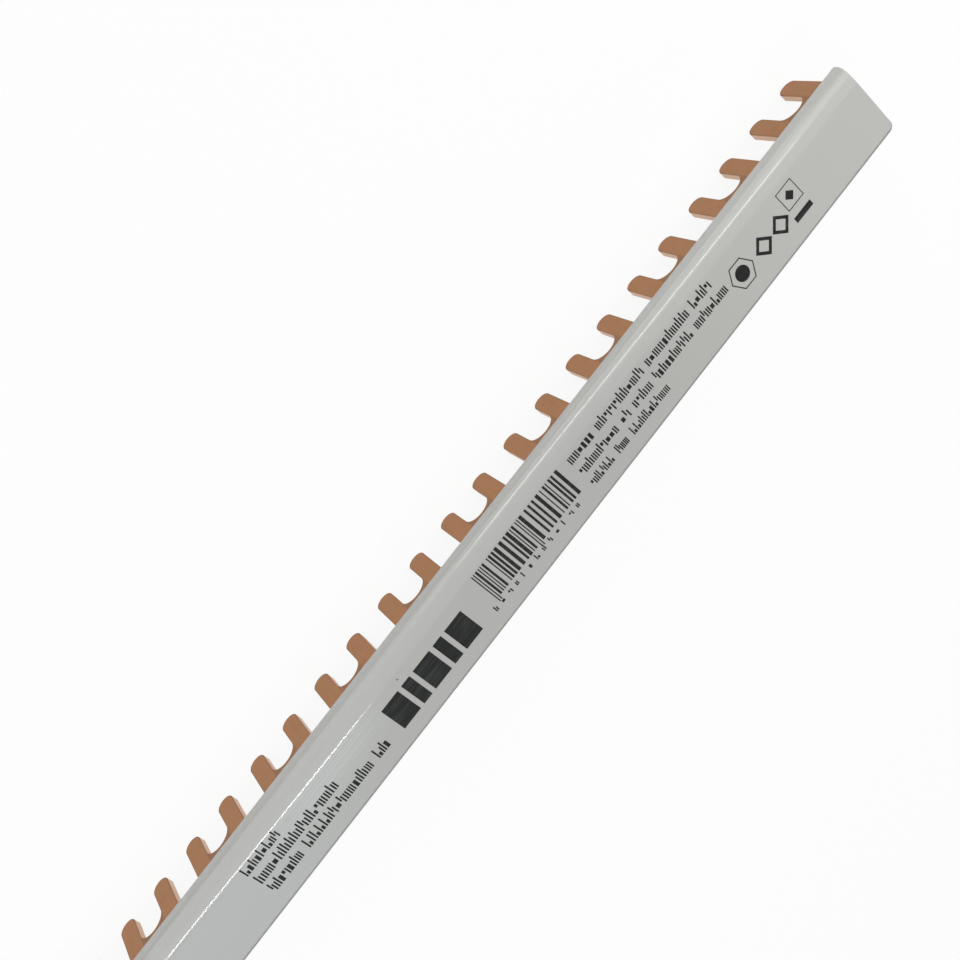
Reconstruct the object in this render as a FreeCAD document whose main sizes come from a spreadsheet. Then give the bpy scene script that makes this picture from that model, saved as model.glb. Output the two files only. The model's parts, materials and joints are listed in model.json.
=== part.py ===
import FreeCAD, Part
import os
import re
import Sketcher

# Single-pole comb busbar with one fork to a module.
# A flat copper strip lies in an extruded plastic housing, and its forks are bent down from the strip's near edge.
# Each fork's slot goes round the terminal screw of one circuit breaker in a row.
#
# Frame, in millimetres: X runs along the row, Z points up out of the printed face, Y points away from the forks.
# The origin is the centre of the first fork's slot, midway through the copper, on the first screw's axis.

# Driving dimensions: name, value, what it measures
sizes = (
    ("fork_count", 12, "forks, one for each module of the row"),
    ("fork_pitch", 17.8, "from one terminal screw to the next"),
    ("fork_width", 12.5, "over both prongs of a fork"),
    ("slot_width", 5.4, "between the prongs, for a 5 mm screw"),
    ("tip_reach", 7.2, "from the screw's axis down to the prong tips"),
    ("lip_height", 5.3, "from the screw's axis up to the housing's lip"),
    ("copper_thickness", 1.4, "of the copper sheet"),
    ("strip_width", 11.4, "of the flat strip behind the bends"),
    ("bend_radius", 0.5, "inside each fork's bend"),
    ("copper_setback", 1.5, "from the housing's end in to the copper's end"),
    ("wall", 0.9, "thickness of the plastic"),
    ("slide_gap", 0.1, "between copper and plastic, so that the strip slides in"),
    ("slit_clearance", 0.5, "from the back of a fork to the housing floor"),
    ("near_wall_height", 3.3, "from the lip up to the flat of the face"),
    ("shoulder_width", 3.8, "from the near wall's outside in to the ridge where the flat starts"),
    ("shoulder_drop", 0.35, "that the shoulder falls from the ridge to the near wall"),
    ("corner_radius", 1.8, "between the near wall and the shoulder"),
    ("edge_radius", 0.8, "on the two edges of the far wall"),
    ("lip_radius", 0.2, "on the edges along the slit"),
    ("cut_allowance", 0.4, "from mid-pitch in to the sawn end"),
)

# Levels and lengths that follow from the driving dimensions
derived = {
    "half_copper": "copper_thickness / 2",
    "prong_width": "(fork_width - slot_width) / 2",
    "x_start": "cut_allowance - fork_pitch / 2",
    "housing_length": "fork_count * fork_pitch - 2 * cut_allowance",
    "y_near": "-half_copper - slide_gap - wall",
    "y_bend": "half_copper + bend_radius",
    "y_strip_far": "y_bend + strip_width",
    "y_far": "y_strip_far + slide_gap + wall",
    "y_slit": "half_copper + slit_clearance",
    "y_ridge": "y_near + shoulder_width",
    "z_face": "lip_height + near_wall_height",
    "z_shoulder": "z_face - shoulder_drop",
    "z_strip_top": "z_face - wall - slide_gap",
    "z_strip_bottom": "z_strip_top - copper_thickness",
    "z_bend_end": "z_strip_bottom - bend_radius",
    "z_floor_top": "z_strip_bottom - slide_gap",
    "z_floor_bottom": "z_floor_top - wall",
    "z_tip_centre": "prong_width / 2 - tip_reach",
}

document = FreeCAD.newDocument("comb_busbar")
sheet = document.addObject("Spreadsheet::Sheet", "Sizes")
for row, (name, number, meaning) in enumerate(sizes, start=1):
    sheet.set("A%d" % row, name)
    sheet.set("B%d" % row, str(number))
    sheet.set("C%d" % row, meaning)
    sheet.setAlias("B%d" % row, name)
document.recompute()
drivers = [name for name, number, meaning in sizes]


def formula(text):
    """Rewrites a formula in plain names as one in the sheet's cells."""
    def cell(match):
        name = match.group(0)
        if name in derived:
            return "(" + formula(derived[name]) + ")"
        return "Sizes." + name if name in drivers else name
    return re.sub("[a-z_]+", cell, text)


def value(text):
    """The formula's present value in millimetres."""
    return float(sheet.evalExpression(formula(text)))


def makeBody(label):
    """An empty body that bears its piece's name."""
    body = document.addObject("PartDesign::Body", label)
    body.Label = label
    return body


def originFeature(body, role):
    """The body's own origin plane or axis with this role."""
    return next(item for item in body.Origin.OriginFeatures if item.Role == role)


def makeSketch(body, name, role, offset="0"):
    """A sketch on one of the body's origin planes, moved along that plane's normal."""
    sketch = body.newObject("Sketcher::SketchObject", name)
    sketch.AttachmentSupport = [(originFeature(body, role), "")]
    sketch.MapMode = "FlatFace"
    sketch.AttachmentOffset = FreeCAD.Placement(FreeCAD.Vector(0, 0, value(offset)), FreeCAD.Rotation())
    sketch.setExpression(".AttachmentOffset.Base.z", formula(offset))
    return sketch


def measure(sketch, kind, items, text):
    """A dimension of the sketch, bound to a formula."""
    index = sketch.addConstraint(Sketcher.Constraint(kind, *items, value(text)))
    sketch.setExpression("Constraints[%d]" % index, formula(text))


def place(sketch, kind, curve, end, text):
    """Holds a point at a signed distance from the sketch's origin, along DistanceX or DistanceY."""
    if value(text) < 0:
        measure(sketch, kind, (curve, end, -1, 1), "-(" + text + ")")
    else:
        measure(sketch, kind, (-1, 1, curve, end), text)


def line(sketch, start, end):
    return sketch.addGeometry(Part.LineSegment(FreeCAD.Vector(*start, 0), FreeCAD.Vector(*end, 0)))


def arc(sketch, centre, radius, first, last):
    """An arc that runs anticlockwise between two angles in degrees."""
    circle = Part.Circle(FreeCAD.Vector(*centre, 0), FreeCAD.Vector(0, 0, 1), radius)
    turn = FreeCAD.Units.Quantity("1 deg").getValueAs("rad").Value
    return sketch.addGeometry(Part.ArcOfCircle(circle, first * turn, last * turn))


def rectangle(sketch, left, right, bottom, top):
    """A closed rectangle between two formulas across and two up."""
    corners = [(value(a), value(b)) for a, b in ((left, bottom), (right, bottom), (right, top), (left, top))]
    edges = [line(sketch, corners[i], corners[(i + 1) % 4]) for i in range(4)]
    for i, edge in enumerate(edges):
        sketch.addConstraint(Sketcher.Constraint("Coincident", edge, 2, edges[(i + 1) % 4], 1))
        sketch.addConstraint(Sketcher.Constraint("Vertical" if i % 2 else "Horizontal", edge))
    place(sketch, "DistanceX", edges[0], 1, left)
    place(sketch, "DistanceX", edges[0], 2, right)
    place(sketch, "DistanceY", edges[0], 1, bottom)
    place(sketch, "DistanceY", edges[2], 1, top)


def pad(body, name, sketch, length, bothWays=False):
    """Material over the sketch, on its normal's side or half to each side."""
    feature = body.newObject("PartDesign::Pad", name)
    feature.Profile = sketch
    feature.SideType = "Symmetric" if bothWays else "One side"
    feature.setExpression("Length", formula(length))
    return feature


def pocket(body, name, sketch):
    """A cut through the whole body on the side that the sketch's normal points to."""
    feature = body.newObject("PartDesign::Pocket", name)
    feature.Profile = sketch
    feature.Type = "ThroughAll"
    feature.Reversed = True
    return feature


def fillet(body, name, base, radius, lines):
    """Rounds the edges of the base that run along X at the given pairs of Y and Z."""
    spots = [(value(y), value(z)) for y, z in lines]
    picked = []
    for number, edge in enumerate(base.Shape.Edges, start=1):
        ends = [vertex.Point for vertex in edge.Vertexes]
        for y, z in spots:
            if all(abs(point.y - y) < 0.001 and abs(point.z - z) < 0.001 for point in ends):
                picked.append("Edge%d" % number)
    feature = body.newObject("PartDesign::Fillet", name)
    feature.Base = (base, picked)
    feature.setExpression("Radius", formula(radius))
    document.recompute()
    return feature


def outsideSection(body):
    """Outside of the extrusion in the YZ plane: a flat face, and from its ridge a shoulder down to the near wall."""
    sketch = makeSketch(body, "outside_section", "YZ_Plane", "x_start")
    corners = [(value(y), value(z)) for y, z in (
        ("y_near", "z_floor_bottom"), ("y_far", "z_floor_bottom"), ("y_far", "z_face"),
        ("y_ridge", "z_face"), ("y_near", "z_shoulder"))]
    edges = [line(sketch, corners[i], corners[(i + 1) % 5]) for i in range(5)]
    for i, edge in enumerate(edges):
        sketch.addConstraint(Sketcher.Constraint("Coincident", edge, 2, edges[(i + 1) % 5], 1))
    floor, far, face, shoulder, near = edges
    for kind, edge in (("Horizontal", floor), ("Vertical", far), ("Horizontal", face), ("Vertical", near)):
        sketch.addConstraint(Sketcher.Constraint(kind, edge))
    place(sketch, "DistanceX", near, 2, "y_near")
    place(sketch, "DistanceX", far, 1, "y_far")
    place(sketch, "DistanceX", shoulder, 1, "y_ridge")
    place(sketch, "DistanceY", floor, 1, "z_floor_bottom")
    place(sketch, "DistanceY", face, 1, "z_face")
    place(sketch, "DistanceY", near, 1, "z_shoulder")
    return sketch


def makeHousing():
    """Extruded channel: face, short near wall, far wall and floor, with a slit where the forks come out."""
    body = makeBody("housing")
    pad(body, "extrusion", outsideSection(body), "housing_length")

    channel = makeSketch(body, "channel_section", "YZ_Plane", "x_start")
    rectangle(channel, "y_near + wall", "y_far - wall", "z_floor_top", "z_face - wall")
    pocket(body, "channel", channel)

    lip = makeSketch(body, "lip_section", "YZ_Plane", "x_start")
    rectangle(lip, "y_near - wall", "y_slit", "z_floor_bottom - wall", "lip_height")
    pocket(body, "shortened_near_wall", lip)

    slit = makeSketch(body, "slit_section", "YZ_Plane", "x_start")
    rectangle(slit, "y_near + wall", "y_slit", "z_floor_bottom - wall", "z_face - wall")
    opened = pocket(body, "slit", slit)
    document.recompute()

    face = fillet(body, "face_corner", opened, "corner_radius", [("y_near", "z_shoulder")])
    inner = fillet(body, "face_corner_inside", face, "corner_radius - wall", [("y_near + wall", "z_face - wall")])
    far = fillet(body, "far_edges", inner, "edge_radius", [("y_far", "z_face"), ("y_far", "z_floor_bottom")])
    fillet(body, "slit_edges", far, "lip_radius", [
        ("y_near", "lip_height"), ("y_near + wall", "lip_height"),
        ("y_slit", "z_floor_top"), ("y_slit", "z_floor_bottom")])
    return body


def bendSection(body):
    """Quarter ring in the YZ plane, from the strip's near edge round to the top of a fork."""
    sketch = makeSketch(body, "bend_section", "YZ_Plane")
    centre = (value("y_bend"), value("z_bend_end"))
    inside, outside = value("bend_radius"), value("bend_radius + copper_thickness")
    inner = arc(sketch, centre, inside, 90, 180)
    outer = arc(sketch, centre, outside, 90, 180)
    upper = line(sketch, (centre[0], centre[1] + inside), (centre[0], centre[1] + outside))
    lower = line(sketch, (centre[0] - inside, centre[1]), (centre[0] - outside, centre[1]))
    for end, joined in ((1, upper), (2, lower)):
        sketch.addConstraint(Sketcher.Constraint("Coincident", inner, end, joined, 1))
        sketch.addConstraint(Sketcher.Constraint("Coincident", outer, end, joined, 2))
    sketch.addConstraint(Sketcher.Constraint("Coincident", inner, 3, outer, 3))
    sketch.addConstraint(Sketcher.Constraint("Vertical", upper))
    sketch.addConstraint(Sketcher.Constraint("Horizontal", lower))
    sketch.addConstraint(Sketcher.Constraint("Vertical", inner, 3, inner, 1))
    sketch.addConstraint(Sketcher.Constraint("Horizontal", inner, 3, inner, 2))
    place(sketch, "DistanceX", inner, 3, "y_bend")
    place(sketch, "DistanceY", inner, 3, "z_bend_end")
    measure(sketch, "Radius", (inner,), "bend_radius")
    measure(sketch, "Radius", (outer,), "bend_radius + copper_thickness")
    return sketch


def forkOutline(body):
    """Fork in the XZ plane: straight sides, full-round prong tips and a slot with a round end."""
    sketch = makeSketch(body, "fork_outline", "XZ_Plane")
    side, slot, tip = value("fork_width / 2"), value("slot_width / 2"), value("prong_width / 2")
    top, low = value("z_bend_end"), value("z_tip_centre")
    root = line(sketch, (-side, top), (side, top))
    right = line(sketch, (side, top), (side, low))
    rightTip = arc(sketch, (side - tip, low), tip, 180, 360)
    rightSlot = line(sketch, (slot, low), (slot, 0))
    slotEnd = arc(sketch, (0, 0), slot, 0, 180)
    leftSlot = line(sketch, (-slot, 0), (-slot, low))
    leftTip = arc(sketch, (tip - side, low), tip, 180, 360)
    left = line(sketch, (-side, low), (-side, top))
    sketch.addConstraint(Sketcher.Constraint("Coincident", root, 2, right, 1))
    sketch.addConstraint(Sketcher.Constraint("Coincident", left, 2, root, 1))
    for first, firstEnd, second, secondEnd in (
            (right, 2, rightTip, 2), (rightTip, 1, rightSlot, 1), (rightSlot, 2, slotEnd, 1),
            (slotEnd, 2, leftSlot, 1), (leftSlot, 2, leftTip, 2), (leftTip, 1, left, 1)):
        sketch.addConstraint(Sketcher.Constraint("Tangent", first, firstEnd, second, secondEnd))
    sketch.addConstraint(Sketcher.Constraint("Vertical", right))
    sketch.addConstraint(Sketcher.Constraint("Vertical", rightSlot))
    sketch.addConstraint(Sketcher.Constraint("Equal", rightTip, leftTip))
    sketch.addConstraint(Sketcher.Constraint("Coincident", slotEnd, 3, -1, 1))
    sketch.addConstraint(Sketcher.Constraint("Symmetric", rightTip, 3, leftTip, 3, -2))
    sketch.addConstraint(Sketcher.Constraint("Symmetric", root, 1, root, 2, -2))
    measure(sketch, "Radius", (slotEnd,), "slot_width / 2")
    measure(sketch, "Radius", (rightTip,), "prong_width / 2")
    place(sketch, "DistanceY", rightTip, 3, "z_tip_centre")
    place(sketch, "DistanceY", root, 1, "z_bend_end")
    return sketch


def makeComb():
    """Copper strip with a row of forks bent down along its near edge."""
    body = makeBody("copper_comb")
    section = makeSketch(body, "strip_section", "YZ_Plane", "x_start + copper_setback")
    rectangle(section, "y_bend", "y_strip_far", "z_strip_bottom", "z_strip_top")
    pad(body, "strip", section, "housing_length - 2 * copper_setback")

    bend = pad(body, "bend", bendSection(body), "fork_width", bothWays=True)
    fork = pad(body, "fork", forkOutline(body), "copper_thickness", bothWays=True)
    document.recompute()

    row = body.newObject("PartDesign::LinearPattern", "fork_row")
    row.Originals = [bend, fork]
    row.Direction = (originFeature(body, "X_Axis"), [""])
    row.Mode = "Spacing"
    row.setExpression("Offset", formula("fork_pitch"))
    row.setExpression("Occurrences", formula("fork_count"))
    body.Tip = row
    return body


pieces = [makeHousing(), makeComb()]
document.recompute()

for item in document.Objects:
    if "Invalid" in item.State or "Error" in item.State:
        raise RuntimeError("%s did not build: %s" % (item.Label, item.State))
for piece in pieces:
    if piece.Shape.isNull() or not piece.Shape.isValid():
        raise RuntimeError("%s has no valid solid" % piece.Label)

os.makedirs("parts", exist_ok=True)
for piece in pieces:
    piece.Shape.exportStep("parts/%s.step" % piece.Label)
    box = piece.Shape.BoundBox
    print("%s: %d solid, %.1f mm3, X %.2f to %.2f, Y %.2f to %.2f, Z %.2f to %.2f" % (
        piece.Label, len(piece.Shape.Solids), piece.Shape.Volume,
        box.XMin, box.XMax, box.YMin, box.YMax, box.ZMin, box.ZMax))
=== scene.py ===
import json
import bpy
import numpy as np
from mathutils import Matrix, Vector


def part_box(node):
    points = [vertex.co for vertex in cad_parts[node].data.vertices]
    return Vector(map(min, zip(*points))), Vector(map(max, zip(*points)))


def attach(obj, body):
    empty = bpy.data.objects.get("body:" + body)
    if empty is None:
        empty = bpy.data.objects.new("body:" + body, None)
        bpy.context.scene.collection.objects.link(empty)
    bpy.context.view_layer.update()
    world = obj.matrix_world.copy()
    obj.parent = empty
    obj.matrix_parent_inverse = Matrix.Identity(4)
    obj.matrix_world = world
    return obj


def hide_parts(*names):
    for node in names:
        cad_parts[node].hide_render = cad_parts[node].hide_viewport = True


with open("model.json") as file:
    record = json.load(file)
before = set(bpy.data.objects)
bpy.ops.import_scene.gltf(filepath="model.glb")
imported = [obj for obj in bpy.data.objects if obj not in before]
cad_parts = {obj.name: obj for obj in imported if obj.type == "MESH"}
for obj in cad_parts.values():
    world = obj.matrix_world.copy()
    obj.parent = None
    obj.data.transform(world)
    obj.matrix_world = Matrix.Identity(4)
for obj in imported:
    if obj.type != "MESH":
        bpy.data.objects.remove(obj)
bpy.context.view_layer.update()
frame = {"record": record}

# Comb busbar: a light grey extruded housing, a stamped copper comb in it and generic dark marks on its face.
# X runs along the row of forks, Z points up out of the marked face, Y points away from the forks.
mm = 0.001
mounts = frame["record"]["mounts"]
forkX = np.array([mount["pos_m"][0] for mount in mounts])
housingLow, housingHigh = (np.array(corner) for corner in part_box("housing"))
combLow, combHigh = (np.array(corner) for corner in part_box("copper_comb"))
print("frame loaded: %d forks, %.1f mm long" % (len(forkX), (housingHigh[0] - housingLow[0]) / mm))


def inMm(*lengths):
    # lengths given in millimetres, as a list in metres
    return [length * mm for length in lengths]


# Mesh helpers

def stacked(*parts):
    # the parts spread to one shape and set side by side as coordinates
    return np.stack(np.broadcast_arrays(*parts), axis=-1)


def unitAlong(way):
    # each vector divided by its own length
    return way / np.linalg.norm(way, axis=-1, keepdims=True)


def gridFaces(rows, columns, start=0, wrap=False):
    # quads of a grid whose point number is row * columns + column; wrap joins the last column to the first
    across = columns if wrap else columns - 1
    row, column = np.meshgrid(np.arange(rows - 1), np.arange(across), indexing="ij")
    beside = (column + 1) % columns
    corners = (row * columns + column, row * columns + beside,
               (row + 1) * columns + beside, (row + 1) * columns + column)
    return np.stack(corners, axis=-1).reshape(-1, 4) + start


def makePiece(name, points, faces, material, smoothAngle=40):
    # a mesh object at the origin, with smooth shading up to the given angle in degrees
    mesh = bpy.data.meshes.new(name)
    mesh.from_pydata(np.asarray(points).tolist(), [], [list(map(int, face)) for face in faces])
    mesh.update()
    mesh.validate()
    mesh.shade_smooth()
    mesh.set_sharp_from_angle(angle=np.radians(smoothAngle))
    mesh.materials.append(material)
    piece = bpy.data.objects.new(name, mesh)
    bpy.context.scene.collection.objects.link(piece)
    return piece


def bevelEdges(piece, width, segments, sharperThan=50):
    # rounds the edges that turn by more than an angle in degrees
    bevel = piece.modifiers.new("roundedEdges", "BEVEL")
    bevel.width = width
    bevel.segments = segments
    bevel.limit_method = "ANGLE"
    bevel.angle_limit = np.radians(sharperThan)
    bevel.harden_normals = True


# Shader maths: arithmetic on a Wire adds Math nodes, and node() adds any other node

class Wire:
    def __init__(self, tree, socket=None):
        self.tree = tree
        self.socket = socket

    def node(self, kind, settings=None, sockets=None, output=0):
        # settings are set first; a socket gets a value, or a link if it is given a Wire
        made = self.tree.nodes.new(kind)
        for name, setting in (settings or {}).items():
            setattr(made, name, setting)
        for key, given in (sockets or {}).items():
            if isinstance(given, Wire):
                self.tree.links.new(given.socket, made.inputs[key])
            else:
                made.inputs[key].default_value = given
        return Wire(self.tree, made.outputs[output] if made.outputs else None)

    def math(self, operation, *given):
        return self.node("ShaderNodeMath", {"operation": operation}, dict(enumerate(given)))

    def __add__(self, other):
        return self.math("ADD", self, other)

    def __radd__(self, other):
        return self.math("ADD", other, self)

    def __sub__(self, other):
        return self.math("SUBTRACT", self, other)

    def __rsub__(self, other):
        return self.math("SUBTRACT", other, self)

    def __mul__(self, other):
        return self.math("MULTIPLY", self, other)

    def __rmul__(self, other):
        return self.math("MULTIPLY", other, self)

    def size(self):
        return self.math("ABSOLUTE", self)

    def root(self):
        return self.math("SQRT", self)

    def least(self, other):
        return self.math("MINIMUM", self, other)

    def most(self, other):
        return self.math("MAXIMUM", self, other)

    def fold(self, half):
        # distance to the nearest multiple of twice the half
        return self.math("PINGPONG", self, half)

    def parts(self):
        # X, Y and Z of this vector, from one node
        split = self.node("ShaderNodeSeparateXYZ", None, {0: self})
        return [Wire(self.tree, socket) for socket in split.socket.node.outputs]

    def rise(self, low, high):
        # 0 below low and 1 above high, smooth between; with low above high it falls instead
        return self.node("ShaderNodeMapRange", {"interpolation_type": "SMOOTHSTEP"},
                         {"Value": self, "From Min": low, "From Max": high})

    def band(self, start, full, falling, end):
        # 1 from full to falling, and 0 before start and after end
        return self.rise(start, full) * self.rise(end, falling)

    def tint(self, under, over):
        # the colour under where this mask is 0, over where it is 1; the Mix node has its colours
        # at sockets 6 and 7 and at output 2
        return self.node("ShaderNodeMix", {"data_type": "RGBA"}, {0: self, 6: under, 7: over}, 2)

    def lay(self, under, colour, span, weight):
        # a colour over another where this noise rises through the span, at most by the weight
        return (self.rise(*span) * weight).tint(under, colour)

    def swing(self, amount):
        # noise of 0 to 1 as plus or minus half the amount
        return (self - 0.5) * amount

    def noise(self, lumps, detail, roughness=0.5, shift=(0, 0, 0)):
        # soft noise about 0 to 1, this wire being the place; lumps are counted per metre along X, Y and Z
        place = self.node("ShaderNodeMapping", None, {"Vector": self, "Scale": lumps, "Location": shift})
        return self.node("ShaderNodeTexNoise", None,
                         {"Vector": place, "Scale": 1.0, "Detail": detail, "Roughness": roughness})

    def bump(self, strength, depth):
        return self.node("ShaderNodeBump", None, {"Strength": strength, "Distance": depth, "Height": self})


def newMaterial(name):
    # a material with an empty tree; returns it and a wire to start from
    material = bpy.data.materials.new(name)
    material.use_nodes = True
    material.node_tree.nodes.clear()
    return material, Wire(material.node_tree)


def finishMaterial(start, sockets):
    surface = start.node("ShaderNodeBsdfPrincipled", None, sockets)
    start.node("ShaderNodeOutputMaterial", None, {"Surface": surface})


def placeOf(start):
    # the object coordinates in metres
    return start.node("ShaderNodeTexCoord", None, None, "Object")


# Housing

housingSpec = {
    "wall": 0.9 * mm,
    "lipHeight": 5.3 * mm,                      # Z of the near wall's lower end
    "slitBack": 1.2 * mm,                       # Y where the floor starts, behind the forks
    "ridgeY": 2.2 * mm,                         # where the flat of the face starts
    "ridgeDrift": 0.8 * mm,                     # the die's ridge wanders this far towards the near edge
    "driftSpan": inMm(120, 190),                # between these two X
    "slope": 0.092,                             # of the shoulder between the ridge and the corner
    "breakY": -0.24 * mm,                       # where the corner's round starts to open out
    "breakSlope": 0.577,                        # from there down to the near wall
    "inkRoom": 0.02 * mm,                       # the face stays this far under the CAD face, for the marks
    # the rounds of the section: radius and point count
    "lipRound": (0.2 * mm, 5),
    "cornerRound": (1.6 * mm, 24),
    "breakRound": (3.5 * mm, 16),
    "ridgeRound": (8.0 * mm, 12),
    "farRound": (0.8 * mm, 16),
    "bottomRound": (0.8 * mm, 12),
    "innerRound": (0.9 * mm, 12),
    "sharpRound": (0.08 * mm, 3),
    # extra points this far from each arc keep a flat flat, if it is more than so many times as long
    "support": (0.08 * mm, 4),
    "stations": 110,                            # sections along the bar
    # the sawn ends: the far wall's round in plan, and the bevel of the cut
    "endRound": 1.3 * mm,
    "endTurn": 60,                              # degrees of that round before the end cuts it off
    "endStations": 6,
    "sawnBevel": 0.1 * mm,
    "sawnSegments": 2,
    # colours, and the X, Y and Z over which each one comes in
    "colour": (0.400, 0.403, 0.385, 1),
    # painted light: a paler, cooler tone where the face would catch cool light, over this X and Y
    "coolColour": (0.412, 0.428, 0.421, 1),
    "coolX": inMm(125, 165),
    "coolY": inMm(1.6, 2.8),
    # painted light: a lighter, warmer tone towards the right end, where the face looks more brightly lit
    "warmColour": (0.448, 0.449, 0.424, 1),
    "warmX": inMm(75, 0),
    # colour laid over by a noise: colour, the span of noise that brings it in, and its weight
    "clouding": ((0.45, 0.45, 0.43, 1), (0.3, 0.7), 0.15),
    # painted light and shade in faint bands on the near corner, a pale painted highlight low on it and a dull
    # painted shade above: colour, Z from start to end, Y, weight at the left and what the right adds to it
    "cornerBands": (
        ((0.462, 0.465, 0.446, 1), inMm(6.45, 6.75, 7.1, 7.45), inMm(-1.25, -1.4), 0.3, 0.7),
        ((0.366, 0.369, 0.353, 1), inMm(7.3, 7.55, 7.65, 7.95), inMm(-0.7, -0.9), 1.0, -0.75)),
    "rightX": inMm(120, 60),
    "edgeColour": (0.22, 0.222, 0.212, 1),      # painted shade: the far upper edge, turned away from the light, is drawn duller and darker
    "edgeOutward": (0.03, 0.4),
    "edgeY": inMm(12, 12.8),
    "edgeZ": inMm(7.5, 8.0),
    "edgeWeight": 0.9,
    "sheenColour": (0.50, 0.52, 0.507, 1),      # painted sheen: light caught in the finest die lines on one stretch
    "sheenX": inMm(121, 134, 143, 163),
    "sheenY": inMm(1.8, 2.4, 4, 9),
    "sheenSpan": (0.44, 0.60),
    "sheenWeight": (0.3, 0.6),                  # all over the stretch, and what the lines add
    # noises: lumps per metre along X, Y and Z, detail, roughness and shift
    "dieLines": ((14, 2600, 2600), 2.0),
    "waves": ((40, 700, 700), 1.0),
    "grain": ((2500, 2500, 2500), 1.0),
    "cloud": ((25, 60, 60), 2.0, 0.5, (3, 1, 2)),
    "sheenLines": ((10, 4500, 4500), 1.0, 0.5, (0, 7, 0)),
    "lineHeight": 0.5,
    "waveHeight": 0.2,
    "grainHeight": 0.12,
    "bumpStrength": 0.3,
    "bumpDepth": 0.02 * mm,
    "roughness": 0.42,
    "lineSwing": 0.10,
    "cloudSwing": 0.06,
    "refraction": 1.4,
    "gloss": 0.85,                              # share of the smooth skin that the die leaves
    "glossRoughness": 0.10,
}


def smoothStep(share):
    # 3t2 - 2t3, held between 0 and 1
    held = np.clip(share, 0, 1)
    return held * held * (3 - 2 * held)


def ridgeLine(x):
    # Y of the ridge along the bar: constant, then a smooth step towards the near edge
    spec = housingSpec
    start, end = spec["driftSpan"]
    return spec["ridgeY"] - spec["ridgeDrift"] * smoothStep((x - start) / (end - start))


def faceHeight(x, y):
    # top of the face: flat behind the ridge, falling evenly in front of it
    spec = housingSpec
    return housingHigh[2] - spec["inkRoom"] - spec["slope"] * np.maximum(ridgeLine(x) - y, 0)


def farWall(x):
    # Y of the far wall: straight, and at both ends an arc that turns inwards;
    # the wall less its radius, plus the root of radius squared less the squared way along the arc
    spec = housingSpec
    radius = spec["endRound"]
    fromEnd = np.minimum(x - housingLow[0], housingHigh[0] - x)
    along = np.maximum(radius * np.sin(np.radians(spec["endTurn"])) - fromEnd, 0)
    return housingHigh[1] - radius + np.sqrt(radius ** 2 - along ** 2)


def housingStations():
    # X of the sections: even along the bar, and at equal turns of the arc at each end
    spec = housingSpec
    turn = np.radians(np.linspace(spec["endTurn"], 0, spec["endStations"]))
    fromEnd = spec["endRound"] * (np.sin(turn[0]) - np.sin(turn))
    even = np.linspace(housingLow[0] + fromEnd[-1], housingHigh[0] - fromEnd[-1], spec["stations"])
    return np.concatenate([housingLow[0] + fromEnd[:-1], even, housingHigh[0] - fromEnd[-2::-1]])


def roundedOutline(corners, stations, support, room):
    # a closed outline for each station, with an arc at each corner of Y, Z, radius and point count;
    # an arc turns evenly from one foot to the other: (sin((1-s)t) * first + sin(st) * last) / sin(t)
    spots = [np.broadcast_to(stacked(y, z), (stations, 2)) for y, z, radius, count in corners]
    arcs = []
    for number, spot in enumerate(spots):
        radius, count = corners[number][2:]
        back = unitAlong(spots[number - 1] - spot)
        ahead = unitAlong(spots[(number + 1) % len(spots)] - spot)
        half = np.arccos(np.sum(back * ahead, axis=-1, keepdims=True)) / 2
        centre = spot + unitAlong(back + ahead) * radius / np.sin(half)
        first, last = (spot + way * radius / np.tan(half) - centre for way in (back, ahead))
        turn = np.pi - 2 * half[:, None]
        share = np.linspace(0, 1, count)[None, :, None]
        swing = np.sin((1 - share) * turn) * first[:, None] + np.sin(share * turn) * last[:, None]
        arcs.append(centre[:, None] + swing / np.sin(turn))
    outline = []
    for arc, following in zip(arcs, arcs[1:] + arcs[:1]):
        flat = following[:, :1] - arc[:, -1:]
        step = unitAlong(flat) * support
        outline.append(arc)
        if np.linalg.norm(flat, axis=-1).min() > room * support:
            outline += [arc[:, -1:] + step, following[:, :1] - step]
    return np.concatenate(outline, axis=1)


def housingSections(x):
    # closed outlines in Y and Z, one for each X: up the near wall, over the shoulder and the face,
    # down the far wall, back along the floor, then the same way back along the channel's walls
    spec = housingSpec
    wall, lip, back = spec["wall"], spec["lipHeight"], spec["slitBack"]
    near, far, bottom, top = housingLow[1], farWall(x), housingLow[2], housingHigh[2]
    ridgeZ = top - spec["inkRoom"]
    breakZ = faceHeight(x, spec["breakY"])
    cornerZ = breakZ - spec["breakSlope"] * (spec["breakY"] - near)
    return roundedOutline([
        (near, lip, *spec["lipRound"]),
        (near, cornerZ, *spec["cornerRound"]),
        (spec["breakY"], breakZ, *spec["breakRound"]),
        (ridgeLine(x), ridgeZ, *spec["ridgeRound"]),
        (far, ridgeZ, *spec["farRound"]),
        (far, bottom, *spec["bottomRound"]),
        (back, bottom, *spec["lipRound"]),
        (back, bottom + wall, *spec["lipRound"]),
        (far - wall, bottom + wall, *spec["sharpRound"]),
        (far - wall, top - wall, *spec["sharpRound"]),
        (near + wall, top - wall, *spec["innerRound"]),
        (near + wall, lip, *spec["lipRound"]),
    ], len(x), *spec["support"])


def makeHousing(material):
    # the sections along X, with a cap of one face at each sawn end
    x = housingStations()
    sections = housingSections(x)
    stations, count = sections.shape[:2]
    points = stacked(x[:, None], sections[..., 0], sections[..., 1])
    skin = gridFaces(stations, count, wrap=True)[:, ::-1]
    ends = [np.arange(count), np.arange(count)[::-1] + (stations - 1) * count]
    piece = makePiece("housingShell", points.reshape(-1, 3), [*skin, *ends], material)
    bevelEdges(piece, housingSpec["sawnBevel"], housingSpec["sawnSegments"])
    return piece


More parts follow.
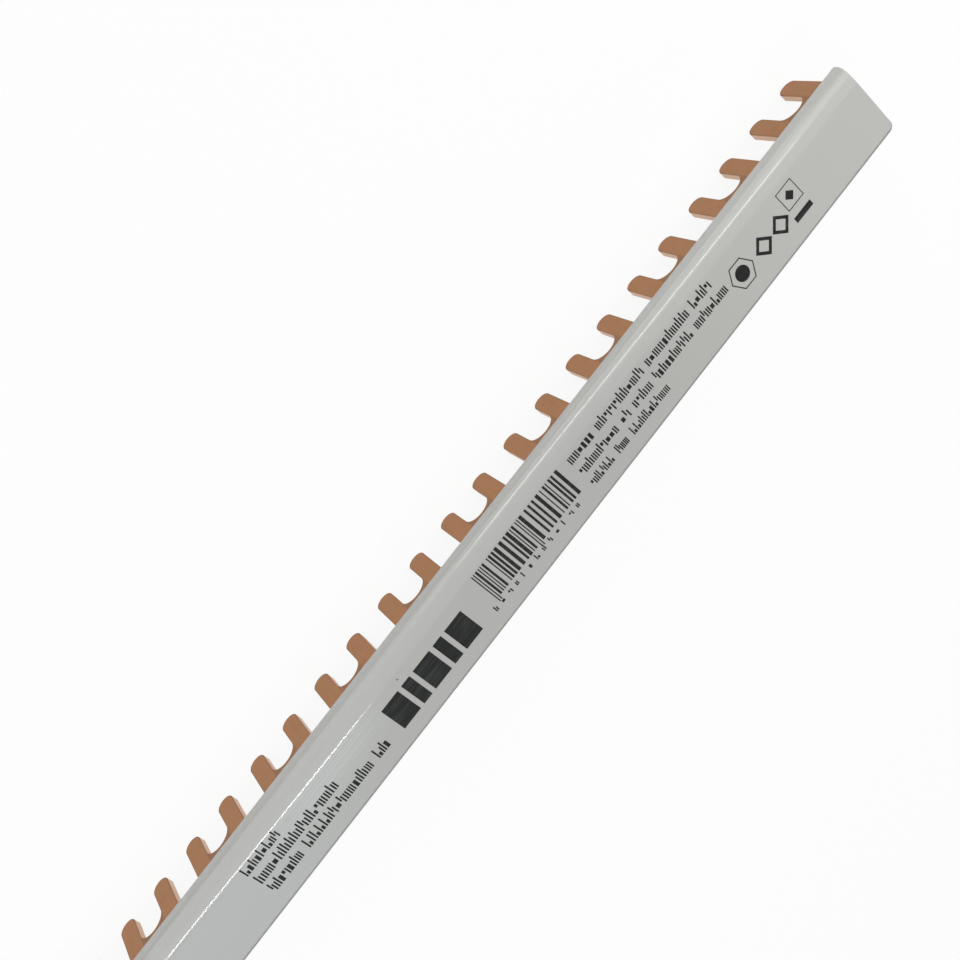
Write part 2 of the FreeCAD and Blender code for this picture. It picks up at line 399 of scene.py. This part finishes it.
def housingMaterial():
    spec = housingSpec
    material, start = newMaterial("softGreyPlastic")
    place = placeOf(start)
    x, y, z = place.parts()
    # fine lines that the die leaves along the bar, slower waves across them, and a matte grain
    lines, waves, grain, cloud = (
        place.noise(*spec[name]) for name in ("dieLines", "waves", "grain", "cloud"))
    # painted light: a paler, cooler tone on one stretch of the face
    paintedCoolTint = x.rise(*spec["coolX"]) * y.rise(*spec["coolY"])
    colour = paintedCoolTint.tint(spec["colour"], spec["coolColour"])
    # painted light: lighter and warmer towards the right end
    colour = x.rise(*spec["warmX"]).tint(colour, spec["warmColour"])
    colour = cloud.lay(colour, *spec["clouding"])
    right = x.rise(*spec["rightX"])
    # painted highlight and painted shade in bands on the near corner, weighted differently towards the right
    for cornerLightAndShade, bandZ, bandY, atLeft, added in spec["cornerBands"]:
        band = z.band(*bandZ) * y.rise(*bandY) * (atLeft + added * right)
        colour = band.tint(colour, cornerLightAndShade)
    # painted shade on the far upper edge, by how far its normal turns out in Y; the gloss is taken off there
    # too
    outward = start.node("ShaderNodeNewGeometry", None, None, "Normal").parts()[1]
    edgeShade = outward.rise(*spec["edgeOutward"]) * y.rise(*spec["edgeY"]) * z.rise(*spec["edgeZ"])
    colour = (edgeShade * spec["edgeWeight"]).tint(colour, spec["edgeColour"])
    # painted sheen in the finest die lines on one stretch of the face
    fine = place.noise(*spec["sheenLines"]).rise(*spec["sheenSpan"])
    everywhere, inLines = spec["sheenWeight"]
    sheen = x.band(*spec["sheenX"]) * y.band(*spec["sheenY"]) * (everywhere + inLines * fine)
    colour = sheen.tint(colour, spec["sheenColour"])
    height = lines * spec["lineHeight"] + waves * spec["waveHeight"] + grain * spec["grainHeight"]
    finishMaterial(start, {
        "Base Color": colour,
        "Roughness": spec["roughness"] + lines.swing(spec["lineSwing"]) + cloud.swing(spec["cloudSwing"]),
        "Normal": height.bump(spec["bumpStrength"], spec["bumpDepth"]),
        "IOR": spec["refraction"],
        "Coat Weight": (1 - edgeShade) * spec["gloss"],
        "Coat Roughness": spec["glossRoughness"]})
    return material


# Copper comb

combSpec = {
    "thickness": 1.4 * mm,
    "forkWidth": 12.5 * mm,
    "bendRadius": 0.5 * mm,                     # inside the bend
    "edgeRound": 0.34 * mm,                     # of the sheared edges
    "edgeSegments": 4,
    # how many rows and points the grids have
    "legRows": 10,
    "tipRows": 6,
    "sideRows": 8,
    "topPoints": 14,
    "across": 7,
    "bendRows": 8,
    "stripRows": 5,
    "decimals": 9,                              # of a metre, by which columns of the strip count as one
    "mergeStep": 1e-7,                          # points nearer than this become one
    # noises: lumps per metre along X, Y and Z, detail, roughness and shift
    "streaks": ((1500, 2500, 160), 3.0, 0.6),
    "blotch": ((300, 300, 300), 3.0, 0.55),
    "grain": ((5000, 5000, 5000), 2.0, 0.6),
    "specks": ((1300, 1300, 1300), 2.0, 0.5, (5, 0, 0)),
    "patches": ((260, 260, 260), 1.0, 0.5, (0, 3, 9)),
    # colours laid over the face: colour, the span of noise that brings it in, and its weight
    "face": (0.378, 0.171, 0.072, 1),
    "brown": ((0.354, 0.176, 0.073, 1), (0.42, 0.60), 0.75),
    "streak": ((0.325, 0.142, 0.061, 1), (0.45, 0.75), 0.35),
    "stain": ((0.325, 0.142, 0.061, 1), (0.62, 0.8), 0.5),
    "tarnish": ((0.10, 0.055, 0.035, 1), (0.70, 0.76), 0.7),
    # painted shade: a thin dark rim along the outline, stronger round the tips; painted light: paler sheared
    # walls
    "rim": (0.14, 0.085, 0.05, 1),
    "rimWidth": inMm(0.24, 0.04),
    "rimWeight": (0.35, 0.6),                   # all along the rim, and what is added at the tips
    "tipRise": 0.8 * mm,                        # height over which the tips' share comes in
    # painted light: the colour of the sheared side walls where they catch the light
    "sheared": (0.66, 0.44, 0.31, 1),
    "shearedDepth": inMm(0.66, 0.48),
    "shearedTop": inMm(5.4, 5.2),
    "shearedWeight": 0.9,
    "metallic": 0.9,
    "roughness": 0.46,
    "grainSwing": 0.12,
    "blotchSwing": 0.15,
    "grainHeight": 0.6,
    "blotchHeight": 0.5,
    "bumpStrength": 0.3,
    "bumpDepth": 0.02 * mm,
}
slotRadius = mounts[0]["dims"]["r_mm"] * mm
tipRadius = combSpec["forkWidth"] / 4 - slotRadius / 2
tipCentre = float(combLow[2]) + tipRadius
bendY = combSpec["thickness"] / 2 + combSpec["bendRadius"]
bendZ = float(combHigh[2]) - combSpec["thickness"] - combSpec["bendRadius"]


def forkGrid():
    # one fork about its slot, in X and Z: rows run round the U from the left tip to the right one,
    # columns from the slot's edge to the outer edge, and the end rows bulge out to a round tip
    spec = combSpec
    half = spec["forkWidth"] / 2
    centre = half - tipRadius
    legZ = np.linspace(0, tipCentre, spec["legRows"] + 1)
    sideZ = np.linspace(0, bendZ, spec["sideRows"] + 1)[1:]
    topX = np.linspace(-half, half, spec["topPoints"] + 1)[1:-1]
    # round the slot: outer points up the left side, along the top and down the right side
    outer = np.concatenate([stacked(-half, sideZ), stacked(topX, bendZ), stacked(half, sideZ[::-1])])
    inner = slotRadius * unitAlong(outer)
    # down a leg, then round the eighth of the tip's circle that each side takes
    eighth = np.pi / 4
    turn = np.linspace(0, eighth, spec["tipRows"] + 1)[1:]
    tipZ = tipCentre - tipRadius * np.sin(turn)
    rightOut = np.concatenate([stacked(half, legZ), stacked(centre + tipRadius * np.cos(turn), tipZ)])
    rightIn = np.concatenate([stacked(slotRadius, legZ), stacked(centre - tipRadius * np.cos(turn), tipZ)])
    mirror = np.array([-1, 1])
    outer = np.concatenate([rightOut[::-1] * mirror, outer, rightOut])
    inner = np.concatenate([rightIn[::-1] * mirror, inner, rightIn])
    share = np.linspace(0, 1, spec["across"])
    grid = inner[:, None] * (1 - share[:, None]) + outer[:, None] * share[:, None]
    # bulge: how far the tip's circle lies below its chord, growing over the tip rows
    chord = tipRadius * np.cos(eighth) * (2 * share - 1)
    bulge = np.sqrt(tipRadius ** 2 - chord ** 2) - tipRadius * np.sin(eighth)
    ramp = (np.arange(1, spec["tipRows"] + 1) / spec["tipRows"]) ** 2
    grow = np.concatenate([ramp[::-1], np.zeros(len(grid) - 2 * len(ramp)), ramp])
    grid[:, :, 1] -= grow[:, None] * bulge
    return grid


def makeComb(material):
    # the sheet's middle surface, merged and given its thickness: the forks, over each a quarter circle
    # of Y = centre - radius * cos(turn) and Z = centre + radius * sin(turn), and the strip
    spec = combSpec
    fork = forkGrid()
    flat = stacked(fork[..., 0], 0.0, fork[..., 1])[:, ::-1]
    topX = np.linspace(-spec["forkWidth"] / 2, spec["forkWidth"] / 2, spec["topPoints"] + 1)
    middle = spec["bendRadius"] + spec["thickness"] / 2
    turn = np.linspace(0, np.pi / 2, spec["bendRows"] + 1)[:, None]
    bend = stacked(topX, bendY - middle * np.cos(turn), bendZ + middle * np.sin(turn))
    grids = []
    for centre in forkX:
        grids += [flat + (centre, 0, 0), bend + (centre, 0, 0)]
    ends = [combLow[0], combHigh[0]]
    stripX = np.unique(np.round(np.concatenate([ends, (forkX[:, None] + topX).ravel()]), spec["decimals"]))
    stripY = np.linspace(bendY, combHigh[1], spec["stripRows"])[:, None]
    grids.append(stacked(stripX, stripY, bendZ + middle))
    starts = np.cumsum([0] + [grid.shape[0] * grid.shape[1] for grid in grids])
    points = np.concatenate([grid.reshape(-1, 3) for grid in grids])
    faces = np.concatenate([gridFaces(*grid.shape[:2], start) for grid, start in zip(grids, starts)])
    steps = np.round(points / spec["mergeStep"]).astype(np.int64)
    first, merged = np.unique(steps, axis=0, return_index=True, return_inverse=True)[1:]
    piece = makePiece("stampedComb", points[first], merged.ravel()[faces], material)
    sheet = piece.modifiers.new("sheetThickness", "SOLIDIFY")
    sheet.thickness = spec["thickness"]
    sheet.offset = 0
    sheet.use_even_offset = True
    bevelEdges(piece, spec["edgeRound"], spec["edgeSegments"])
    return piece


def combMaterial():
    spec = combSpec
    material, start = newMaterial("matteCopper")
    place = placeOf(start)
    x, y, z = place.parts()
    # distance inwards from the fork's outline: sides, slot and round tips
    half = spec["forkWidth"] / 2
    across = x.fold(float(forkX[1] - forkX[0]) / 2)
    up = z.most(0.0)
    slotEdge = (across * across + up * up).root() - slotRadius
    under = (tipCentre - z).most(0.0)
    off = across - (half - tipRadius)
    tipEdge = tipRadius - (off * off + under * under).root()
    inside = (half - across).least(slotEdge).least(tipEdge)
    streaks, blotch, grain, specks, patches = (
        place.noise(*spec[name]) for name in ("streaks", "blotch", "grain", "specks", "patches"))
    colour = patches.lay(spec["face"], *spec["brown"])
    colour = streaks.lay(colour, *spec["streak"])
    colour = blotch.lay(colour, *spec["stain"])
    colour = specks.lay(colour, *spec["tarnish"])
    # painted light: the sheared side walls drawn paler, as where light from the side falls on them
    cut = y.size().rise(*spec["shearedDepth"]) * z.rise(*spec["shearedTop"])
    colour = (cut * spec["shearedWeight"]).tint(colour, spec["sheared"])
    # painted shade: a thin dark rim along the fork's outline, stronger round the tips, kept off the side
    # walls
    everywhere, atTips = spec["rimWeight"]
    tips = z.rise(tipCentre + spec["tipRise"], tipCentre)
    rim = inside.rise(*spec["rimWidth"]) * (everywhere + atTips * tips)
    colour = (rim * (1 - cut)).tint(colour, spec["rim"])
    height = grain * spec["grainHeight"] + blotch * spec["blotchHeight"]
    finishMaterial(start, {
        "Base Color": colour,
        "Metallic": spec["metallic"],
        "Roughness": spec["roughness"] + grain.swing(spec["grainSwing"]) + blotch.swing(spec["blotchSwing"]),
        "Normal": height.bump(spec["bumpStrength"], spec["bumpDepth"])})
    return material


# Marks on the face: generic bars, blocks and outlines, never letters

markSpec = {
    "rise": 0.012 * mm,
    "sink": 0.05 * mm,
    # each row, in millimetres: from X to X, from Y to Y, and how its length is shared out among groups
    "leftRows": ((160.7, 151.7, 1.92, 3.96, (6,)), (160.5, 139.6, 4.75, 7.0, (14,)),
                 (160.4, 129.0, 7.72, 9.94, (5, 11, 2))),
    "rightRows": ((73.4, 34.4, 2.25, 4.35, (5, 10, 9, 4)), (73.4, 32.8, 5.33, 7.4, (8, 2, 4, 8, 7)),
                  (73.5, 52.1, 8.46, 10.3, (4, 2, 7))),
    "groupGap": 0.8,
    "groupSlack": 0.25,                         # a group this close to its length takes no more figures
    # small figures of the rows: how wide each one is, then its strokes from S, T to S, T with a width;
    # S runs along the row and T down it, both in row heights
    "figures": (
        (0.52, ((0.11, 0.0, 0.11, 1.0, 0.145), (0.36, 0.3, 0.36, 1.0, 0.145))),
        (0.52, ((0.11, 0.3, 0.11, 1.0, 0.145), (0.36, 0.0, 0.36, 1.0, 0.145))),
        (0.50, ((0.11, 0.3, 0.11, 1.0, 0.145), (0.34, 0.3, 0.34, 1.0, 0.145))),
        (0.70, ((0.10, 0.3, 0.10, 1.0, 0.135), (0.32, 0.3, 0.32, 1.0, 0.135), (0.54, 0.3, 0.54, 1.0, 0.135))),
        (0.30, ((0.12, 0.0, 0.12, 1.0, 0.145),)),
        (0.52, ((0.23, 0.45, 0.23, 0.87, 0.36),)),
        (0.60, ((0.11, 0.0, 0.11, 1.0, 0.145), (0.40, 0.62, 0.40, 1.0, 0.24))),
        (0.62, ((0.17, 0.3, 0.17, 0.62, 0.24), (0.48, 0.3, 0.48, 1.0, 0.145))),
        (0.46, ((0.20, 0.35, 0.20, 1.0, 0.30),)),
        (0.50, ((0.11, 0.0, 0.11, 0.66, 0.145), (0.34, 0.3, 0.34, 1.0, 0.145))),
    ),
    # bold blocks: from X, from Y to Y, then the width of each and the gap between them
    "bold": (125.7, 4.58, 10.18),
    "boldWidths": (4.4, 2.2, 4.4, 2.2, 4.4),
    "boldGap": 0.95,
    # upright stripes: from X to X, from Y to Y, their module and the modules that a stripe or a gap may take
    "stripes": (98.9, 75.5, 2.33, 8.82),
    "stripeModule": 0.25,
    "stripeFill": 0.9,
    "stripeWidths": (1, 1, 2, 2, 3),
    "guardModules": 3,
    "guardLonger": 0.75,
    # spaced figures under the stripes: from X to X, from Y to Y, then which ones, their stretch and weight
    "ticks": (100.6, 77.1, 9.18, 10.36),
    "tickSpaces": 12.6,
    "tickFigures": (0, 5, 7, 2, 4, 8, 6, 1, 9, 5, 4, 7, 2),
    "tickStretch": 1.3,
    "tickWeight": 1.5,
    # plain outlines: centre in X and Y, radius, corners, angle of the first corner, and the hole's share
    # or 0; the last one is a speck
    "signs": (((29.15, 7.45), 2.9, 6, 0, 0.92), ((29.15, 7.45), 1.5, 24, 0, 0),
              ((23.1, 7.45), 2.2, 4, 0, 0.62), ((18.4, 7.45), 2.2, 4, 0, 0.62),
              ((13.7, 5.2), 2.9, 4, 45, 0.92), ((13.7, 5.2), 1.1, 4, 0, 0), ((119.8, 3.2), 0.15, 7, 0, 0)),
    "signBar": ((16.0, 8.84), (16.0, 9.96), (11.6, 9.96), (11.6, 8.84)),
    "ink": (0.006, 0.007, 0.0065, 1),
    "wornInk": ((0.026, 0.028, 0.026, 1), (0.42, 0.72), 1.0),
    "inkPatch": ((150, 1500, 1500), 3.0, 0.6),
    "inkRoughness": 0.5,
    "inkSwing": 0.1,
    "inkRefraction": 1.25,
    "seed": 5,
}


def block(outline):
    # thin closed blocks under flat outlines, given as blocks by corners by X and Y, anticlockwise from above
    outline = np.asarray(outline, float)
    count, corners = outline.shape[:2]
    x, y = outline[..., 0], outline[..., 1]
    face = faceHeight(x, y)
    high, low = face + markSpec["rise"], face - markSpec["sink"]
    points = np.concatenate([stacked(x, y, high), stacked(x, y, low)], axis=1)
    turn = np.arange(corners)
    walls = stacked(turn, turn + corners, (turn + 1) % corners + corners, (turn + 1) % corners)
    first = (np.arange(count) * 2 * corners)[:, None, None]
    tops = turn[None, None, :]
    lows = tops[..., ::-1] + corners
    faces = [*(tops + first).reshape(-1, corners), *(lows + first).reshape(-1, corners),
             *(walls[None] + first).reshape(-1, 4)]
    return points.reshape(-1, 3), faces


def ring(outline, share):
    # a closed band between an outline and the same outline shrunk about its middle
    middle = outline.mean(axis=0)
    inner = middle + (outline - middle) * share
    rise, sink = markSpec["rise"], -markSpec["sink"]
    loops = [stacked(x, y, faceHeight(x, y) + lift)
             for (x, y), lift in ((outline.T, rise), (inner.T, rise), (inner.T, sink), (outline.T, sink))]
    count = len(outline)
    return np.concatenate(loops), gridFaces(len(loops) + 1, count, wrap=True) % (len(loops) * count)


def joined(parts):
    # one list of points and faces from several
    points, faces = zip(*parts)
    starts = np.cumsum([0] + [len(own) for own in points])
    shifted = [np.asarray(face) + start for own, start in zip(faces, starts) for face in own]
    return np.concatenate(points), shifted


def strokes(lines, fromX, fromY, tall):
    # blocks for strokes of S, T, S, T and width; S runs towards -X and T towards +Y
    lines = np.asarray(lines, float) * tall
    first, last, width = lines[:, 0:2], lines[:, 2:4], lines[:, 4:5]
    along = unitAlong(last - first)
    side = stacked(-along[:, 1], along[:, 0]) * width / 2
    corners = np.stack([first + side, last + side, last - side, first - side], axis=1)
    return block(stacked(fromX - corners[..., 0], fromY + corners[..., 1]))


def figureStrokes(kind, place, stretch, weight=1.0):
    # the strokes of one small figure, set at a place along its row
    return [(place + s0 * stretch, t0, place + s1 * stretch, t1, width * weight)
            for s0, t0, s1, t1, width in markSpec["figures"][kind][1]]


def figureRow(fromX, toX, fromY, toY, groups, dice):
    # groups of small figures, each group stretched a little to fill its share of the row
    spec = markSpec
    tall = toY - fromY
    unit = (fromX - toX) / (sum(groups) + spec["groupGap"] * (len(groups) - 1)) / tall
    widths = [width for width, figure in spec["figures"]]
    lines, begin = [], 0.0
    for group in groups:
        span = group * unit
        chosen = []
        while sum(widths[kind] for kind in chosen) < span - spec["groupSlack"]:
            chosen.append(int(dice.integers(len(widths))))
        stretch = span / sum(widths[kind] for kind in chosen)
        place = begin
        for kind in chosen:
            lines += figureStrokes(kind, place, stretch)
            place += widths[kind] * stretch
        begin += span + spec["groupGap"] * unit
    return strokes(lines, fromX * mm, fromY * mm, tall * mm)


def boldBlocks():
    # a row of plain upright blocks, by turns wide and narrow
    fromX, fromY, toY = markSpec["bold"]
    lines, place = [], 0
    for width in markSpec["boldWidths"]:
        middle = place + width / 2
        lines.append((middle, 0, middle, toY - fromY, width))
        place += width + markSpec["boldGap"]
    return strokes(lines, fromX * mm, fromY * mm, mm)


def stripePattern(dice):
    # upright stripes of one to three modules, with longer ones at both ends and in the middle
    spec = markSpec
    fromX, toX, fromY, toY = spec["stripes"]
    module, guards, widths = spec["stripeModule"], spec["guardModules"], spec["stripeWidths"]
    modules = int(round((fromX - toX) / module))
    lines, place = [], 0
    while place < modules:
        guard = place < guards or place >= modules - guards or 0 <= place - modules // 2 < guards
        width = 1 if guard else int(dice.choice(widths))
        width = min(width, modules - place)
        middle = (place + width / 2) * module
        tall = toY - fromY + (spec["guardLonger"] if guard else 0)
        lines.append((middle, 0, middle, tall, width * module * spec["stripeFill"]))
        place += width + (1 if guard else int(dice.choice(widths)))
    return strokes(lines, fromX * mm, fromY * mm, mm)


def tickRow():
    # small figures under the stripes, evenly spaced out
    spec = markSpec
    fromX, toX, fromY, toY = spec["ticks"]
    tall = toY - fromY
    step = (fromX - toX) / spec["tickSpaces"] / tall
    lines = []
    for number, kind in enumerate(spec["tickFigures"]):
        lines += figureStrokes(kind, number * step, spec["tickStretch"], spec["tickWeight"])
    return strokes(lines, fromX * mm, fromY * mm, tall * mm)


def signFigures():
    # a six-sided ring round a disc, two bold diamonds, a thin square round a small diamond, a speck and a bar
    parts = []
    for (x, y), radius, corners, start, hole in markSpec["signs"]:
        turn = np.radians(start) + np.arange(corners) * 2 * np.pi / corners
        outline = stacked(x + radius * np.cos(turn), y + radius * np.sin(turn)) * mm
        parts.append(ring(outline, hole) if hole else block(outline[None]))
    parts.append(block(np.array(markSpec["signBar"])[None] * mm))
    return joined(parts)


def makeMarks(material):
    dice = np.random.default_rng(markSpec["seed"])
    shapes = {
        "lineMarksLeft": joined([figureRow(*row, dice) for row in markSpec["leftRows"]]),
        "lineMarksRight": joined([figureRow(*row, dice) for row in markSpec["rightRows"]]),
        "boldMark": boldBlocks(),
        "stripeMark": joined([stripePattern(dice), tickRow()]),
        "signMarks": signFigures(),
    }
    return [makePiece(name, points, faces, material) for name, (points, faces) in shapes.items()]


def inkMaterial():
    spec = markSpec
    material, start = newMaterial("blackInk")
    patch = placeOf(start).noise(*spec["inkPatch"])
    finishMaterial(start, {
        "Base Color": patch.lay(spec["ink"], *spec["wornInk"]),
        "Roughness": spec["inkRoughness"] + patch.swing(spec["inkSwing"]),
        "IOR": spec["inkRefraction"]})
    return material


# Floor, light and camera

studio = {
    "white": (1, 1, 1, 1),
    "worldLight": 0.14,
    "floorHalf": 1.5,
    "floorPoints": 3,
    "floorShade": (0.9, 0.9, 0.9, 1),
    "floorWhite": 0.9,                          # share of plain white that camera rays see on the floor
    # each lamp: from one end of the strip to the other, its width, its radiance and its colour
    "lamps": {
        "nearStrip": ((0.125, -0.43, 0.62), (-0.205, -0.013, 0.62), 0.045, 8.6, (1, 1, 1)),
        "endPanel": ((-0.15, -0.24, 0.62), (-0.36, -0.06, 0.62), 0.40, 0.78, (1, 0.99, 0.97)),
        "farStrip": ((0.20, 0.262, 0.62), (0.42, 0.258, 0.62), 0.03, 26.0, (0.96, 0.98, 1)),
        "topPanel": ((-0.30, -0.045, 0.60), (0.50, -0.045, 0.60), 0.51, 0.82, (1, 1, 1)),
        "slantPanel": ((-0.28, -0.46, 0.60), (0.45, -0.46, 0.60), 0.40, 0.75, (1, 1, 1)),
        "sidePanel": ((-0.30, -0.75, 0.32), (0.45, -0.75, 0.32), 0.42, 1.7, (1, 1, 0.99)),
        "backPanel": ((-0.10, 0.70, 0.30), (0.40, 0.70, 0.30), 0.34, 1.8, (1, 1, 1)),
        "rightFill": ((-0.13, -0.05, 0.13), (-0.13, 0.05, 0.13), 0.1, 3.1, (1, 0.99, 0.97)),
        "leftFill": ((0.33, -0.05, 0.13), (0.33, 0.05, 0.13), 0.1, 2.4, (0.92, 0.97, 1)),
    },
}

cameraView = {
    "aim": inMm(85.017, -6.008, 5.3),
    "distance": 266.728 * mm,
    # angles in degrees
    "azimuth": 6.8411,
    "elevation": 63.5379,
    "roll": 122.0141,
    # lens and sensor in millimetres, as Blender counts them
    "lens": 59.690,
    "sensor": 36,
    "clipStart": 0.01,
}


def backgroundRay(start):
    # 1 for camera, glossy and transmission rays, which see the plain white
    camera, glossy, through = (start.node("ShaderNodeLightPath", None, None, name)
                               for name in ("Is Camera Ray", "Is Glossy Ray", "Is Transmission Ray"))
    return camera.most(glossy).most(through)


def makeFloor():
    material, start = newMaterial("paleFloor")
    matte = start.node("ShaderNodeBsdfDiffuse", None, {"Color": studio["floorShade"]})
    white = start.node("ShaderNodeEmission", None, {"Color": studio["white"], "Strength": 1.0})
    seen = backgroundRay(start) * studio["floorWhite"]
    surface = start.node("ShaderNodeMixShader", None, {0: seen, 1: matte, 2: white})
    start.node("ShaderNodeOutputMaterial", None, {"Surface": surface})
    count = studio["floorPoints"]
    span = np.linspace(-studio["floorHalf"], studio["floorHalf"], count)
    points = stacked(span, span[:, None], combLow[2]).reshape(-1, 3)
    floor = makePiece("paleFloor", points, gridFaces(count, count), material)


def makeWorld():
    world = bpy.data.worlds.new("softWhite")
    bpy.context.scene.world = world
    world.use_nodes = True
    world.node_tree.nodes.clear()
    start = Wire(world.node_tree)
    light = studio["worldLight"]
    strength = backgroundRay(start) * (1 - light) + light
    sky = start.node("ShaderNodeBackground", None, {"Color": studio["white"], "Strength": strength})
    start.node("ShaderNodeOutputWorld", None, {"Surface": sky})


def placeInScene(name, content, right, up, back, spot):
    # an object with these three directions as its axes
    holder = bpy.data.objects.new(name, content)
    bpy.context.scene.collection.objects.link(holder)
    turned = Matrix((right, up, back)).transposed().to_4x4()
    turned.translation = spot
    holder.matrix_world = turned
    return holder


def makeLamps():
    # each strip lamp lies between its two ends and faces the middle of the bar;
    # its power is radiance times pi times area
    middle = Vector(((housingLow + housingHigh) / 2).tolist())
    for name, (first, last, width, radiance, colour) in studio["lamps"].items():
        first, last = Vector(first), Vector(last)
        spot = (first + last) / 2
        back = (spot - middle).normalized()
        along = last - first
        along = (along - back * along.dot(back)).normalized()
        lamp = bpy.data.lights.new(name, "AREA")
        lamp.shape = "RECTANGLE"
        lamp.size = (last - first).length
        lamp.size_y = width
        lamp.energy = radiance * np.pi * lamp.size * width
        lamp.color = colour
        placeInScene(name, lamp, along, back.cross(along), back, spot)


def makeCamera():
    # the camera's back direction from azimuth and elevation, then a roll about it
    view = cameraView
    azimuth, elevation, roll = (np.radians(view[name]) for name in ("azimuth", "elevation", "roll"))
    level = np.cos(elevation)
    back = Vector((np.sin(azimuth) * level, -np.cos(azimuth) * level, np.sin(elevation)))
    side = Vector((0, 0, 1)).cross(back).normalized()
    right = side * np.cos(roll) + back.cross(side) * np.sin(roll)
    camera = bpy.data.cameras.new("viewCamera")
    camera.sensor_width = view["sensor"]
    camera.lens = view["lens"]
    camera.clip_start = view["clipStart"]
    spot = Vector(view["aim"]) + back * view["distance"]
    bpy.context.scene.camera = placeInScene("viewCamera", camera, right, back.cross(right), back, spot)


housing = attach(makeHousing(housingMaterial()), "root")
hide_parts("housing")
print("housing made")
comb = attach(makeComb(combMaterial()), "root")
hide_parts("copper_comb")
print("comb made")
for mark in makeMarks(inkMaterial()):
    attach(mark, "root")
print("marks made")
makeFloor()
makeWorld()
makeLamps()
makeCamera()
print("floor, lamps and camera made")
bpy.context.scene.view_settings.view_transform = "Standard"
